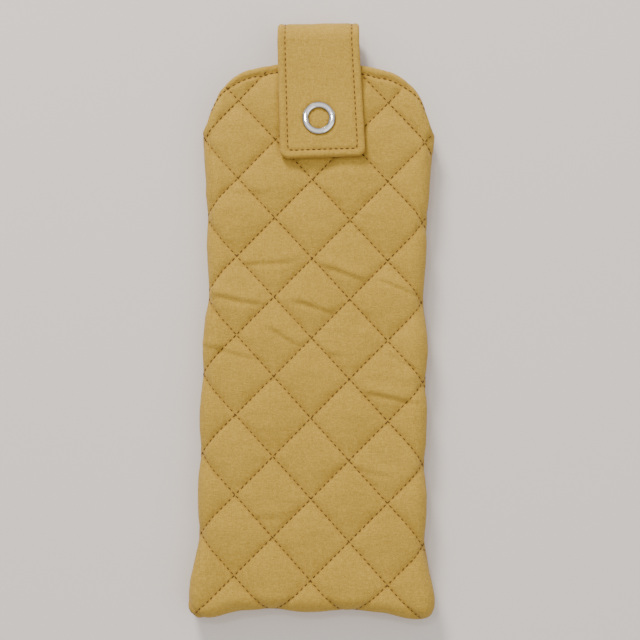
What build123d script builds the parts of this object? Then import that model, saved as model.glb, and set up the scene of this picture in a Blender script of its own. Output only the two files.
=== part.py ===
from build123d import *

import os
from math import asin, atan, atan2, cos, degrees, pi, sin, sqrt

# A soft quilted spectacle case with a fold-over tab and a ring press stud, lying on its back.
#
# Units are millimetres. X runs across the case, Y along it towards the mouth, and Z up from the
# surface that the case lies on. The origin is in the middle of its footprint, at that surface.
#
# The case is two padded shells, a back and a front. Each is an outer cotton panel, a wadding and a
# cotton lining, sewn together round the sides and the bottom. The mouth is an arched edge at +Y. A
# tab is sewn into the back's mouth edge, loops over the mouth, and closes on the front with a press
# stud: a prong ring and socket on the tab, and a stud and prong ring on the front.

# Case, in plan
BODY_LENGTH = 190.0  # mouth's apex to the middle of the bottom edge
EAR_DROP = 3.3  # how far the bottom corners hang below the bottom edge
TAB_LOOP = 12.9  # how far the tab's fold stands beyond the mouth's apex
EAR_R = 4.6
EAR_X = 42.6  # half the width across the bottom corners
SHOULDER_X = 40.0  # half the width at the top of the side seams
WAIST_X = 37.5  # half the width where the case is narrowest
WAIST_Y = 18.0
BOTTOM_BEND_R = 30.0  # how the bottom edge turns down to its corners
MOUTH_R = 90.0
MOUTH_CORNER_R = 21.6
MOUTH_FLAT_X = 24.0  # half the width of the mouth's flatter arc

# Layers, in section
OUTER_T = 0.5
WADDING_T = 2.6
LINING_T = 0.4
HOLLOW = 6.0  # between the two linings
EDGE_R = 4.4  # how the sides and bottom edge are rounded over
SEAM_GAP = 0.5  # between the two shells along the seam
MOUTH_RIM = 0.8  # outer cloth turned in over the wadding at the mouth

# Thread
THREAD_W = 0.4
THREAD_DEPTH = 0.3
TOPSTITCH_INSET = 2.8
SEAM_THREAD_T = 0.2

# Quilting, as two families of parallel lines on the flat of the cloth
QUILT_CENTRE = (-1.2, 21.2)  # one crossing
QUILT_STEP = 27.56  # along Y, between neighbouring lines of a family
QUILT_SLOPES = (1.024, -1.066)

# Tab
TAB_W = 28.0
TAB_END = 34.8  # how far the tab's end lies below the mouth's apex
TAB_SHELL_T = 0.7
TAB_CORE_T = 0.8
TAB_CORNER_R = 3.0
TAB_CLEAR = 0.4  # between the closed tab and the front
TAB_TAIL = 8.0  # how much of the tab is held in the back's mouth seam
TAB_TAIL_LIFT = 0.7  # tab's underside over the resting surface
TAB_CORE_INSET = 1.5
FOLD_GAP = 0.2

# Press stud
RING_OUT_R = 5.8
RING_IN_R = 3.5
RING_T = 0.95
SNAP_DOWN = 21.2  # below the mouth's apex
DIMPLE_R = 6.2
DIMPLE_DEPTH = 1.9
STUD_FLANGE_R = 4.4
STUD_FLANGE_T = 0.5
STUD_NECK_R = 1.6
STUD_HEAD_R = 1.9
STUD_H = 1.9
SOCKET_H = 1.5
SOCKET_BORE_R = 2.2
SOCKET_LID = 0.25
SPRING_WIRE = 0.35
PRONGS = 5
PRONG_R = 0.3
PRONG_CIRCLE_R = 3.9

# Worked out from those
THICK = 2 * (OUTER_T + WADDING_T + LINING_T) + HOLLOW
MID_Z = THICK / 2
TOTAL_LENGTH = EAR_DROP + BODY_LENGTH + TAB_LOOP
Y_TIP = -TOTAL_LENGTH / 2
Y_BOTTOM = Y_TIP + EAR_DROP
Y_MOUTH = Y_BOTTOM + BODY_LENGTH
Y_FOLD = TOTAL_LENGTH / 2
TAB_T = 2 * TAB_SHELL_T + TAB_CORE_T
TAB_UNDER_Z = THICK + TAB_CLEAR
TAB_TOP_Z = TAB_UNDER_Z + TAB_T
FOLD_OUT_R = (TAB_TOP_Z - TAB_TAIL_LIFT) / 2
FOLD_Z = TAB_TAIL_LIFT + FOLD_OUT_R
FOLD_Y = Y_FOLD - FOLD_OUT_R
SNAP_Y = Y_MOUTH - SNAP_DOWN
STUD_Z = THICK - DIMPLE_DEPTH
LINING_IN = OUTER_T + WADDING_T + LINING_T  # inset of the lining's inner face
FAR = 150.0
RUN_ON_Y = Y_MOUTH + 8.0  # where the shells stop before the mouth is cut
EAR_CENTRE = (EAR_X - EAR_R, Y_TIP + EAR_R)

# Centre and end of the mouth's corner arc
MOUTH_CENTRE_Y = Y_MOUTH - MOUTH_R
FLAT_RISE = sqrt(MOUTH_R**2 - MOUTH_FLAT_X**2)
CORNER_SHARE = (MOUTH_R - MOUTH_CORNER_R) / MOUTH_R
CORNER_X = MOUTH_FLAT_X * CORNER_SHARE
CORNER_Y = MOUTH_CENTRE_Y + FLAT_RISE * CORNER_SHARE


def tangent_arc(centre, radius, start, end):
    """An arc about a centre, between the directions (in radians) of its two ends."""
    return CenterArc(centre, radius, degrees(start), degrees(end - start))


def outline(inset):
    """The case in plan, run on past the mouth, with every side moved in by inset."""
    ear_x, ear_y = EAR_CENTRE
    bend_x = ear_x - sqrt(EAR_DROP * (2 * BOTTOM_BEND_R + 2 * EAR_R - EAR_DROP))
    bend_centre = (bend_x, Y_BOTTOM - BOTTOM_BEND_R)
    bend_end = atan2(ear_y - bend_centre[1], ear_x - bend_x)
    drop, flare = WAIST_Y - ear_y, EAR_X - WAIST_X
    lower_r = (drop**2 + (ear_x - WAIST_X) ** 2 - EAR_R**2) / (2 * flare)
    lower_centre = (WAIST_X + lower_r, WAIST_Y)
    lower_end = atan2(ear_y - WAIST_Y, ear_x - lower_centre[0]) % (2 * pi)
    rise, spread = CORNER_Y - WAIST_Y, SHOULDER_X - WAIST_X
    upper_r = (rise**2 + spread**2) / (2 * spread)
    upper_centre = (WAIST_X + upper_r, WAIST_Y)
    upper_end = pi - asin((RUN_ON_Y - WAIST_Y) / (upper_r + inset))
    upper = tangent_arc(upper_centre, upper_r + inset, pi, upper_end)
    half = [
        Line((0, Y_BOTTOM + inset), (bend_x, Y_BOTTOM + inset)),
        tangent_arc(bend_centre, BOTTOM_BEND_R + inset, pi / 2, bend_end),
        tangent_arc(EAR_CENTRE, EAR_R - inset, bend_end - pi, lower_end - pi),
        tangent_arc(lower_centre, lower_r + inset, lower_end, pi),
        upper,
        Line(upper @ 1, (0, RUN_ON_Y)),
    ]
    return make_face(half + [mirror(edge, about=Plane.YZ) for edge in half])


def pillow(inset):
    """Everything inside a skin that lies inset below the outside of the case."""
    body = extrude(Plane.XY.offset(inset) * outline(inset), THICK - 2 * inset)
    ends = body.edges().group_by(Axis.Z)
    rounded = [e for e in ends[0] + ends[-1] if e.center().Y < RUN_ON_Y - 0.01]
    return fillet(rounded, EDGE_R - inset)


def mouth_plan(inset):
    """All of the plan below the mouth edge, with that edge moved in by inset."""
    share = (MOUTH_R - inset) / MOUTH_R
    flat_x, flat_y = MOUTH_FLAT_X * share, MOUTH_CENTRE_Y + FLAT_RISE * share
    end_x = CORNER_X + MOUTH_CORNER_R - inset
    corner_mid = (
        CORNER_X + (MOUTH_CORNER_R - inset) * cos(pi / 5),
        CORNER_Y + (MOUTH_CORNER_R - inset) * sin(pi / 5),
    )
    half = [
        ThreePointArc((flat_x, flat_y), corner_mid, (end_x, CORNER_Y)),
        Line((end_x, CORNER_Y), (FAR, CORNER_Y)),
        Line((FAR, CORNER_Y), (FAR, -FAR)),
    ]
    top = ThreePointArc((-flat_x, flat_y), (0, Y_MOUTH - inset), (flat_x, flat_y))
    foot = Line((-FAR, -FAR), (FAR, -FAR))
    edges = [top, foot] + half + [mirror(edge, about=Plane.YZ) for edge in half]
    return make_face(edges)


def mouth(inset):
    """A prism over all of the case below its mouth edge, with that edge moved in by inset."""
    return extrude(mouth_plan(inset), FAR)


def slab(z_low, z_high):
    """All of space between two heights."""
    return Pos(0, 0, (z_low + z_high) / 2) * Box(2 * FAR, 2 * FAR, z_high - z_low)


def topstitch_plan():
    """The line of topstitching along the mouth, on the flat of the cloth."""
    half_w = THREAD_W / 2
    band = mouth_plan(TOPSTITCH_INSET - half_w) - mouth_plan(TOPSTITCH_INSET + half_w)
    return band & outline(EDGE_R)


def quilting_plan():
    """Every quilting line that crosses the flat of the cloth."""
    lines = Sketch()
    middle_x, middle_y = QUILT_CENTRE
    reach = int(BODY_LENGTH / QUILT_STEP) + 1
    for slope in QUILT_SLOPES:
        for step in range(-reach, reach + 1):
            at = Pos(middle_x, middle_y + step * QUILT_STEP) * Rot(0, 0, degrees(atan(slope)))
            lines += at * Rectangle(2 * FAR, THREAD_W)
    return lines & outline(EDGE_R) & mouth_plan(MOUTH_RIM)


def prong_positions():
    """Where the prongs of a ring stand, in plan."""
    turn = 2 * pi / PRONGS
    return [
        (PRONG_CIRCLE_R * sin(k * turn), SNAP_Y + PRONG_CIRCLE_R * cos(k * turn))
        for k in range(PRONGS)
    ]


def post(x, y, z_low, z_high, radius):
    """An upright cylinder."""
    return Pos(x, y, (z_low + z_high) / 2) * Cylinder(radius, z_high - z_low)


def prongs(z_low, z_high):
    """A ring's prongs, between two heights."""
    return [post(x, y, z_low, z_high, PRONG_R) for x, y in prong_positions()]


def spin(points, z):
    """The solid of revolution about the press stud's axis of a closed (radius, height) profile."""
    profile = make_face(Polyline(*[(r, 0, h) for r, h in points], close=True))
    return Pos(0, SNAP_Y, z) * revolve(profile, Axis.Z)


def at_height(plan, z_low, z_high):
    """A flat shape in plan, between two heights."""
    return Pos(0, 0, z_low) * extrude(plan, z_high - z_low)


def front_shell():
    """The layers and threads of the front shell, by name. The back shell is its mirror image."""
    half = slab(MID_Z + SEAM_GAP / 2, FAR)
    outside, under_outer = pillow(0), pillow(OUTER_T)
    under_wadding, inside = pillow(OUTER_T + WADDING_T), pillow(LINING_IN)
    whole_mouth, rim_mouth = mouth(0), mouth(MOUTH_RIM)
    wadding = (under_outer - under_wadding) & half & rim_mouth
    outer = ((outside - under_wadding) & half & whole_mouth) - wadding
    lining = (under_wadding - inside) & half & whole_mouth
    topstitches, lines = topstitch_plan(), quilting_plan()
    lining_z, wadding_z = THICK - LINING_IN, THICK - OUTER_T - WADDING_T
    quilting = at_height(lines - topstitches, THICK - THREAD_DEPTH, THICK)
    bobbin = at_height(lines, wadding_z, wadding_z + SEAM_THREAD_T)
    topstitch = at_height(topstitches, THICK - THREAD_DEPTH, THICK)
    topstitch_inside = at_height(topstitches, lining_z, lining_z + SEAM_THREAD_T)
    return {
        "outer_panel": outer - quilting - topstitch,
        "wadding": wadding - bobbin,
        "lining": lining - topstitch_inside,
        "quilting_thread": quilting,
        "quilting_bobbin_thread": bobbin,
        "mouth_topstitch": Compound(topstitch.solids() + topstitch_inside.solids()),
    }


def seam_thread(inset, low_z):
    """The line of stitching that joins the two shells round the sides and the bottom."""
    ring = outline(inset) - outline(inset + THREAD_W)
    thread = Pos(0, 0, low_z) * extrude(ring, SEAM_THREAD_T)
    return thread & mouth(TOPSTITCH_INSET) & (Pos(0, CORNER_Y - FAR, 0) * Box(FAR, 2 * FAR, FAR))


def tab_strip(low, high, inset):
    """The tab's path, extruded: from its tail in the back, round the fold, to its end on the front.

    low and high are depths from the tab's inner face, and inset narrows and shortens it.
    """
    inner_r = FOLD_OUT_R - TAB_T
    r_low, r_high = inner_r + low, inner_r + high
    tail_y, end_y = Y_MOUTH - TAB_TAIL + inset, Y_MOUTH - TAB_END + inset

    def corner(y, radius, sign):
        return (0, y, FOLD_Z + sign * radius)

    path = [
        Line(corner(tail_y, r_low, -1), corner(FOLD_Y, r_low, -1)),
        ThreePointArc(
            corner(FOLD_Y, r_low, -1), (0, FOLD_Y + r_low, FOLD_Z), corner(FOLD_Y, r_low, 1)
        ),
        Line(corner(FOLD_Y, r_low, 1), corner(end_y, r_low, 1)),
        Line(corner(end_y, r_low, 1), corner(end_y, r_high, 1)),
        Line(corner(end_y, r_high, 1), corner(FOLD_Y, r_high, 1)),
        ThreePointArc(
            corner(FOLD_Y, r_high, 1), (0, FOLD_Y + r_high, FOLD_Z), corner(FOLD_Y, r_high, -1)
        ),
        Line(corner(FOLD_Y, r_high, -1), corner(tail_y, r_high, -1)),
        Line(corner(tail_y, r_high, -1), corner(tail_y, r_low, -1)),
    ]
    strip = extrude(make_face(path), TAB_W / 2 - inset, dir=(1, 0, 0), both=True)
    plan = RectangleRounded(TAB_W - 2 * inset, 2 * FAR, TAB_CORNER_R)
    return strip & (Pos(0, end_y + FAR, 0) * extrude(plan, FAR))


def tab_parts():
    """The tab's cloth, core and topstitching, each cut in two at the fold."""
    middle = TAB_SHELL_T + TAB_CORE_T / 2
    core = tab_strip(TAB_SHELL_T, TAB_SHELL_T + TAB_CORE_T, TAB_CORE_INSET)
    outer = tab_strip(middle, TAB_T, 0) - core
    under = tab_strip(0, middle, 0) - core
    half_w = THREAD_W / 2
    on_top = tab_strip(TAB_T - THREAD_DEPTH, TAB_T, TOPSTITCH_INSET - half_w)
    on_top -= tab_strip(0, TAB_T + 1, TOPSTITCH_INSET + half_w)
    stitches = on_top & slab(0, FAR)
    outer -= stitches
    base, flap = slab(-1, FOLD_Z - FOLD_GAP / 2), slab(FOLD_Z + FOLD_GAP / 2, FAR)
    whole = {"outer": outer, "core": core, "under": under, "topstitch": stitches}
    parts = {}
    for name, solid in whole.items():
        parts[f"tab_base_{name}"] = solid & base
        parts[f"tab_flap_{name}"] = solid & flap
    return parts


def ring_profile():
    """The rounded section of a prong ring, as (radius, height) points."""
    middle = (RING_OUT_R + RING_IN_R) / 2
    half_w = (RING_OUT_R - RING_IN_R) / 2
    steps = 12
    return [
        (middle + half_w * cos(pi * k / steps), RING_T * sin(pi * k / steps) ** 0.8)
        for k in range(steps + 1)
    ]


def prong_ring(z, up):
    """A prong ring whose flat side is at z. Its domed side faces up, or down if up is False."""
    flip = 1 if up else -1
    return spin([(r, flip * h) for r, h in ring_profile()], z)


def stud():
    """The stud: a flange, a neck and a rounded head with a hollow in its top."""
    lip = 0.35
    points = [
        (0, 0),
        (STUD_FLANGE_R, 0),
        (STUD_FLANGE_R, STUD_FLANGE_T * 0.6),
        (STUD_FLANGE_R - lip, STUD_FLANGE_T),
        (STUD_NECK_R + lip, STUD_FLANGE_T),
        (STUD_NECK_R, STUD_FLANGE_T + 0.2),
        (STUD_HEAD_R, STUD_H - 0.55),
        (STUD_HEAD_R, STUD_H - 0.3),
        (STUD_HEAD_R - lip, STUD_H),
        (STUD_HEAD_R - 3 * lip, STUD_H),
        (0, STUD_H - 0.3),
    ]
    return spin(points, STUD_Z)


def socket():
    """The socket: a cup that opens down over the stud, with a groove for its spring."""
    groove_r, low = SOCKET_BORE_R + SPRING_WIRE + 0.05, SPRING_WIRE / 2
    groove = (low, low + SPRING_WIRE + 0.1)
    points = [
        (0, SOCKET_H),
        (STUD_FLANGE_R, SOCKET_H),
        (STUD_FLANGE_R, SOCKET_H - 0.4),
        (STUD_FLANGE_R - 0.8, 0.2),
        (STUD_FLANGE_R - 1.0, 0),
        (SOCKET_BORE_R, 0),
        (SOCKET_BORE_R, groove[0]),
        (groove_r, groove[0]),
        (groove_r, groove[1]),
        (SOCKET_BORE_R, groove[1]),
        (SOCKET_BORE_R, SOCKET_H - SOCKET_LID),
        (0, SOCKET_H - SOCKET_LID),
    ]
    return spin(points, TAB_UNDER_Z - SOCKET_H)


def socket_spring():
    """The split wire ring that grips the stud's head."""
    wire_r = SPRING_WIRE / 2
    gap_deg = 40
    wire_z = TAB_UNDER_Z - SOCKET_H + SPRING_WIRE + 0.05
    ring_r = SOCKET_BORE_R + wire_r - 0.05
    path = CenterArc((0, 0, 0), ring_r, gap_deg / 2, 360 - gap_deg)
    section = Plane(origin=path @ 0, z_dir=path % 0) * Circle(wire_r)
    return Pos(0, SNAP_Y, wire_z) * sweep(section, path)


def dimple_cut(radius, z_low):
    """The round hollow that the press stud pulls into the front, down to a height."""
    return post(0, SNAP_Y, z_low, THICK + 1, radius)


def fit_press_stud(parts):
    """Adds the press stud's pieces, and the dimple and prong holes that they make."""
    floor_low = STUD_Z - OUTER_T
    cup = post(0, SNAP_Y, floor_low, THICK, DIMPLE_R + OUTER_T) - dimple_cut(DIMPLE_R, STUD_Z)
    room = dimple_cut(DIMPLE_R + OUTER_T, floor_low)
    for name in ("front_quilting_thread", "front_outer_panel", "front_wadding"):
        parts[name] = parts[name] - room
    parts["front_outer_panel"] = parts["front_outer_panel"] + cup
    stud_ring_z = THICK - LINING_IN
    low_prongs = prongs(stud_ring_z - RING_T / 2, STUD_Z + STUD_FLANGE_T * 0.6)
    through = ["outer_panel", "wadding", "lining", "quilting_bobbin_thread"]
    for name in through:
        parts[f"front_{name}"] = parts[f"front_{name}"] - low_prongs
    parts["snap_stud_ring"] = prong_ring(stud_ring_z, up=False) + low_prongs
    parts["snap_stud"] = stud() - low_prongs
    high_prongs = prongs(TAB_UNDER_Z - 0.3, TAB_TOP_Z + RING_T / 2)
    for name in ("outer", "core", "under"):
        parts[f"tab_flap_{name}"] = parts[f"tab_flap_{name}"] - high_prongs
    parts["snap_cap_ring"] = prong_ring(TAB_TOP_Z, up=True) + high_prongs
    parts["snap_socket"] = socket() - high_prongs
    parts["snap_socket_spring"] = socket_spring()


def main():
    parts = {}
    for name, shape in front_shell().items():
        parts[f"front_{name}"] = shape
        parts[f"back_{name}"] = mirror(shape, about=Plane.XY.offset(MID_Z))
    parts |= tab_parts()
    tail = tab_strip(0, TAB_T, 0) & slab(-1, MID_Z)
    for name in ("back_outer_panel", "back_wadding", "back_quilting_bobbin_thread"):
        parts[name] = parts[name] - tail
    seam_z = MID_Z - SEAM_GAP / 2
    parts["side_seam_thread"] = seam_thread(OUTER_T, seam_z)
    parts["lining_seam_thread"] = seam_thread(OUTER_T + WADDING_T - THREAD_W, seam_z)
    fit_press_stud(parts)
    os.makedirs("parts", exist_ok=True)
    for name, shape in parts.items():
        export_step(Compound(shape.solids()), f"parts/{name}.step")


main()
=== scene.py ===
from math import cos, pi, radians, sin, sqrt

import bmesh
import bpy
import numpy as np
from mathutils import Matrix, Vector


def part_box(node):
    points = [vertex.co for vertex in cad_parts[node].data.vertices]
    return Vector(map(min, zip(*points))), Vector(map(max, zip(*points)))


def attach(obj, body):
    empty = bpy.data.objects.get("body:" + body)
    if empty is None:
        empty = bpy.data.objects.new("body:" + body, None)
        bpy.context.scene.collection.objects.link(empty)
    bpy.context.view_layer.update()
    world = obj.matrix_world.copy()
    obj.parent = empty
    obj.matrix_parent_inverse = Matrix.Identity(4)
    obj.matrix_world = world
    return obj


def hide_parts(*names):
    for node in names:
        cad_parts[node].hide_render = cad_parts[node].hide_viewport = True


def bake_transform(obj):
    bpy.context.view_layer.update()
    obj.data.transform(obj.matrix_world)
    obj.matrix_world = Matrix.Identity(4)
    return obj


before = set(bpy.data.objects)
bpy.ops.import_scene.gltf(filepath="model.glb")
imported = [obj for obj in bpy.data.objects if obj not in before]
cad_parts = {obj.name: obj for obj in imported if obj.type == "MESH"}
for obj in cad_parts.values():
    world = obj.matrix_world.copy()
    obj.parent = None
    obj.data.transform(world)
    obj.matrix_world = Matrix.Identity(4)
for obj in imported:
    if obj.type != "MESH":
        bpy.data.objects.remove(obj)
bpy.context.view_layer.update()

MM = 0.001

# The looks of a soft quilted spectacle case. Shapes are worked out in millimetres, in the frame's
# own axes: X across the case, Y towards its mouth, and Z up out of its front.


def node_mm(node):
    """The lowest and highest corners of a node, in millimetres."""
    low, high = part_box(node)
    return np.array(low) / MM, np.array(high) / MM


FRONT_LOW, FRONT_HIGH = node_mm("front_outer_panel")
BACK_HIGH = node_mm("back_outer_panel")[1]
RING_LOW, RING_HIGH = node_mm("snap_cap_ring")
FLAP_LOW, FLAP_HIGH = node_mm("tab_flap_outer")
STUD_LOW = node_mm("snap_stud")[0]
BASE_LOW = node_mm("tab_base_outer")[0]

SEAM_Z = (FRONT_LOW[2] + BACK_HIGH[2]) / 2
SEAM_LAP = 0.2  # how far each shell passes the middle of the seam
TOP_Z = FRONT_HIGH[2]
MOUTH_Y = FRONT_HIGH[1]
SNAP = (RING_LOW[:2] + RING_HIGH[:2]) / 2
TAB_TOP = FLAP_HIGH[2]
TAB_LOOP_Y = FLAP_HIGH[1] + 0.9  # the cloth stands a little proud at its fold
TAB_END_Y = FLAP_LOW[1]
TAB_TAIL_Y = BASE_LOW[1]
TAB_LOW_Z = BASE_LOW[2]
TAB_T = 2.2
TAB_W = 29.0

# The side seams: nearly straight, drawn in at the waist, fuller below the mouth's corners, and
# flared at the bottom corners. The left is a little fuller than the right in the lower half.
SIDE_X = 39.0
WAIST_IN = 1.35
WAIST_Y = 13.0
WAIST_REACH = 17.0
SHOULDER_OUT = 1.95
SHOULDER_Y = 64.5
SHOULDER_REACH = 11.0
EAR_INSIDE = 0.25  # how far its bottom corners stay inside the CAD's
EAR_OUT = FRONT_HIGH[0] - SIDE_X - EAR_INSIDE
EAR_REACH = 13.0
UNEVEN = 0.45
UNEVEN_Y = -50.0
UNEVEN_REACH = 35.0
EAR_R = 4.6
EAR_Y = -98.5
BOTTOM_Y = -100.3
EAR_DROPS = (3.3, 2.8)  # left and right, below the middle of the bottom edge
MOUTH_R = 90.0
MOUTH_CORNER_R = 20.4
MOUTH_CORNER = (19.4, 67.2)
ROLL = 1.3  # half the thickness of the rolled mouth edge
EDGE_ACROSS = 5.4  # how far in from the seam the rounding reaches
PAD = 3.1  # outer and wadding together
TOPSTITCH_IN = 3.2
TOPSTITCH_RUN_OUT = 1.3  # in from the edge where it meets the side seam
SWELL = 1.55  # how high the quilting stands
SINK = 1.15  # how deep its lines are sewn
EASE = 0.75  # how much fuller it is at its edges
ROUNDNESS = 2.6  # how flat-topped the quilting is between its lines
FULLNESS = 0.6
FOLD_SOFTNESS = 0.035
PUCKER = 0.09  # height of the unevenness beside the stitching
RUMPLE = 0.05  # and of the small unevenness everywhere
DRAG = 0.07  # and of what is drawn out across the case
SAG = 0.16  # and of the slow kind
TABLE_GAP = 0.03
TABLE_REACH = 0.1
TABLE_SOFTNESS = 0.18  # how gradually the back flattens on the table
DIMPLE_R = 10.5  # of the dip in the front round its stud
DIMPLE_EASE = 5.0
DIMPLE_ABOVE_STUD = 0.25
DIMPLE_SLOPE = 0.02
TAB_CLEARANCE = 0.47  # between the front's cloth and the tab's underside
STITCH = 2.0
STITCH_SHARE = 0.66
THREAD_R = 0.18
THREAD_SIDES = 7
THREAD_SINK = 0.22  # how deep a stitch's ends go into the cloth
SEAM_CLEAR = 1.5  # quilting stitches stop this far from the seam, and so on
MOUTH_CLEAR = 1.0
TOPSTITCH_CLEAR = 0.35
SNAP_CLEAR = 6.5

# A stitch from end to end, as (share of its length, rise out of the cloth, share of its girth)
STITCH_PROFILE = (
    (0.0, -1.0, 0.55), (0.1, -0.1, 0.85), (0.3, 0.85, 1.0), (0.5, 1.0, 1.0),
    (0.7, 0.85, 1.0), (0.9, -0.1, 0.85), (1.0, -1.0, 0.55),
)

# Quilting lines cross near the middle of the case. They are sewn by hand to marks, so the two
# directions differ a little in their steps along Y, and each fans out slightly.
MIDDLE_Y = (FRONT_LOW[1] + MOUTH_Y) / 2
QUILT_STEP = 27.56
QUILT_UNEVEN = 0.01
QUILT_FAN = 0.008
QUILT_EACH_WAY = 4
QUILT_BEYOND = 27.6  # from the last line to the next, which would lie off the case
RISING_ASIDE = 0.9
RISING_SLOPE = 1.042
FALLING_ASIDE = -2.1
FALLING_SLOPE = -1.068


def quilting_lines(aside, step, slope):
    """(y at x = 0, slope) of the lines of one direction, out both ways from the middle of the case."""
    numbers = range(-QUILT_EACH_WAY, QUILT_EACH_WAY + 1)
    return [(MIDDLE_Y + aside + k * step, slope + k * QUILT_FAN) for k in numbers]


RISING = quilting_lines(RISING_ASIDE, QUILT_STEP * (1 + QUILT_UNEVEN), RISING_SLOPE)
FALLING = quilting_lines(FALLING_ASIDE, QUILT_STEP * (1 - QUILT_UNEVEN), FALLING_SLOPE)

# Soft creases across the front's cloth, as (x, y, half-length, height, turn in degrees)
CREASES = (
    (-28.5, 6.8, 9.5, 0.42, -6.0),
    (-17.5, 19.5, 9.0, 0.26, 8.0),
    (-1.0, 4.6, 7.5, 0.36, -12.0),
    (9.5, 16.5, 8.5, 0.38, -14.0),
    (29.0, 11.5, 7.5, 0.34, -16.0),
    (26.5, -26.4, 10.5, 0.42, -7.0),
    (-29.5, -11.5, 9.5, 0.36, -10.0),
    (-11.0, -5.8, 7.0, 0.32, -24.0),
    (30.0, -13.8, 6.0, 0.28, -22.0),
    (8.0, -12.0, 6.0, 0.18, 6.0),
    (-24.0, 44.0, 7.0, 0.16, 4.0),
    (20.0, -52.0, 7.5, 0.18, -5.0),
    (-18.0, -68.0, 7.0, 0.16, 7.0),
    (14.0, 37.0, 6.5, 0.14, -4.0),
)


def smoothstep(t):
    """0 below 0, 1 above 1, and a smooth rise between."""
    t = np.clip(t, 0, 1)
    return t * t * (3 - 2 * t)


def unit(v):
    """Vectors scaled to a length of 1."""
    return v / np.maximum(np.linalg.norm(v, axis=-1, keepdims=True), 1e-9)


def ripple(x, y, seed, size, count=14):
    """Smooth seeded unevenness, about -1 to 1, with features of about a size in millimetres."""
    rng = np.random.default_rng(seed)
    total = np.zeros_like(np.asarray(x, float))
    for _ in range(count):
        turn, phase = rng.uniform(0, 2 * pi, 2)
        wave = 2 * pi / (size * rng.uniform(0.7, 1.8))
        total += np.cos(wave * (x * cos(turn) + y * sin(turn)) + phase)
    return total / sqrt(count)


# ---------------------------------------------------------------- plan of the case


def hump(at, middle, reach):
    """1 at a middle, falling smoothly to about 0 at twice the reach on both sides."""
    return np.exp(-(((at - middle) / reach) ** 2))


def half_width(y, right):
    """Half the width of the case at the seam, on one side."""
    width = SIDE_X - WAIST_IN * hump(y, WAIST_Y, WAIST_REACH)
    width += SHOULDER_OUT * hump(y, SHOULDER_Y, SHOULDER_REACH)
    width += EAR_OUT * hump(y, EAR_Y, EAR_REACH)
    uneven = UNEVEN * hump(y, UNEVEN_Y, UNEVEN_REACH)
    return width - uneven if right else width + uneven


def half_width_beside(x, y):
    """Half the width of the case at the seam, on the side that x is on."""
    return np.where(x > 0, half_width(y, True), half_width(y, False))


def bottom_edge(x):
    """The bottom seam's y, with its two rounded corners hanging below it."""
    drop = np.where(x > 0, EAR_DROPS[1], EAR_DROPS[0])
    centre = half_width_beside(x, EAR_Y) - EAR_R
    reach = np.abs(x)
    flat = BOTTOM_Y - drop * smoothstep((reach - 23) / (centre - 23))
    ear_r = EAR_Y - BOTTOM_Y + drop
    over = np.clip((reach - centre) / EAR_R, 0, 1)
    return np.where(reach < centre, flat, EAR_Y - ear_r * np.sqrt(1 - over**2))


def mouth_edge(x, inset):
    """The mouth edge's y, moved in by inset."""
    reach = np.abs(x)
    share = (MOUTH_R - MOUTH_CORNER_R) / MOUTH_R
    flat_x = MOUTH_CORNER[0] / share * (MOUTH_R - inset) / MOUTH_R
    big, small = MOUTH_R - inset, MOUTH_CORNER_R - inset
    arch = MOUTH_Y - MOUTH_R + np.sqrt(np.maximum(big**2 - reach**2, 0))
    over = reach - MOUTH_CORNER[0]
    corner = MOUTH_CORNER[1] + np.sqrt(np.maximum(small**2 - over**2, 0))
    tail = MOUTH_CORNER[1] - 1.6 * np.maximum(over - small, 0)
    return np.where(reach < flat_x, arch, np.where(over < small, corner, tail))


def seam_line():
    """The seam in plan, from beyond the mouth down the left, along the bottom and up the right."""
    sides = np.concatenate([np.linspace(125, 60, 14), np.linspace(58, EAR_Y, 110)])
    left = np.stack([-half_width(sides, False), sides], 1)
    right = np.stack([half_width(sides, True), sides], 1)[::-1]
    wide_l, wide_r = half_width(EAR_Y, False), half_width(EAR_Y, True)
    turn = np.linspace(0, pi / 2, 19)[1:]
    xs = np.concatenate([
        -wide_l + EAR_R * (1 - np.cos(turn)),
        np.linspace(-wide_l + EAR_R, wide_r - EAR_R, 72)[1:-1],
        (wide_r - EAR_R * (1 - np.cos(turn)))[::-1],
    ])
    return np.concatenate([left, np.stack([xs, bottom_edge(xs)], 1), right])


def mouth_line():
    """The mouth's edge in plan, from the left corner to the right."""
    turn = np.linspace(0, pi / 2, 24)
    corner = MOUTH_CORNER[0] + MOUTH_CORNER_R * np.cos(turn)[::-1]
    xs = np.concatenate([-corner[::-1], np.linspace(-18, 18, 25), corner])
    return np.stack([xs, mouth_edge(xs, 0.0)], 1)


def topstitch_line():
    """The line of the topstitching along the mouth, running out towards the side seams."""
    turn = np.linspace(pi / 2, 0.22, 60)
    inset = TOPSTITCH_RUN_OUT + (TOPSTITCH_IN - TOPSTITCH_RUN_OUT) * smoothstep((turn - 0.2) / 0.9)
    r = MOUTH_CORNER_R - inset
    right = np.stack([MOUTH_CORNER[0] + r * np.cos(turn), MOUTH_CORNER[1] + r * np.sin(turn)], 1)
    xs = np.linspace(-MOUTH_CORNER[0], MOUTH_CORNER[0], 40)[1:-1]
    arch = np.stack([xs, mouth_edge(xs, TOPSTITCH_IN)], 1)
    return np.concatenate([right[::-1] * np.array([-1, 1]), arch, right])


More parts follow.
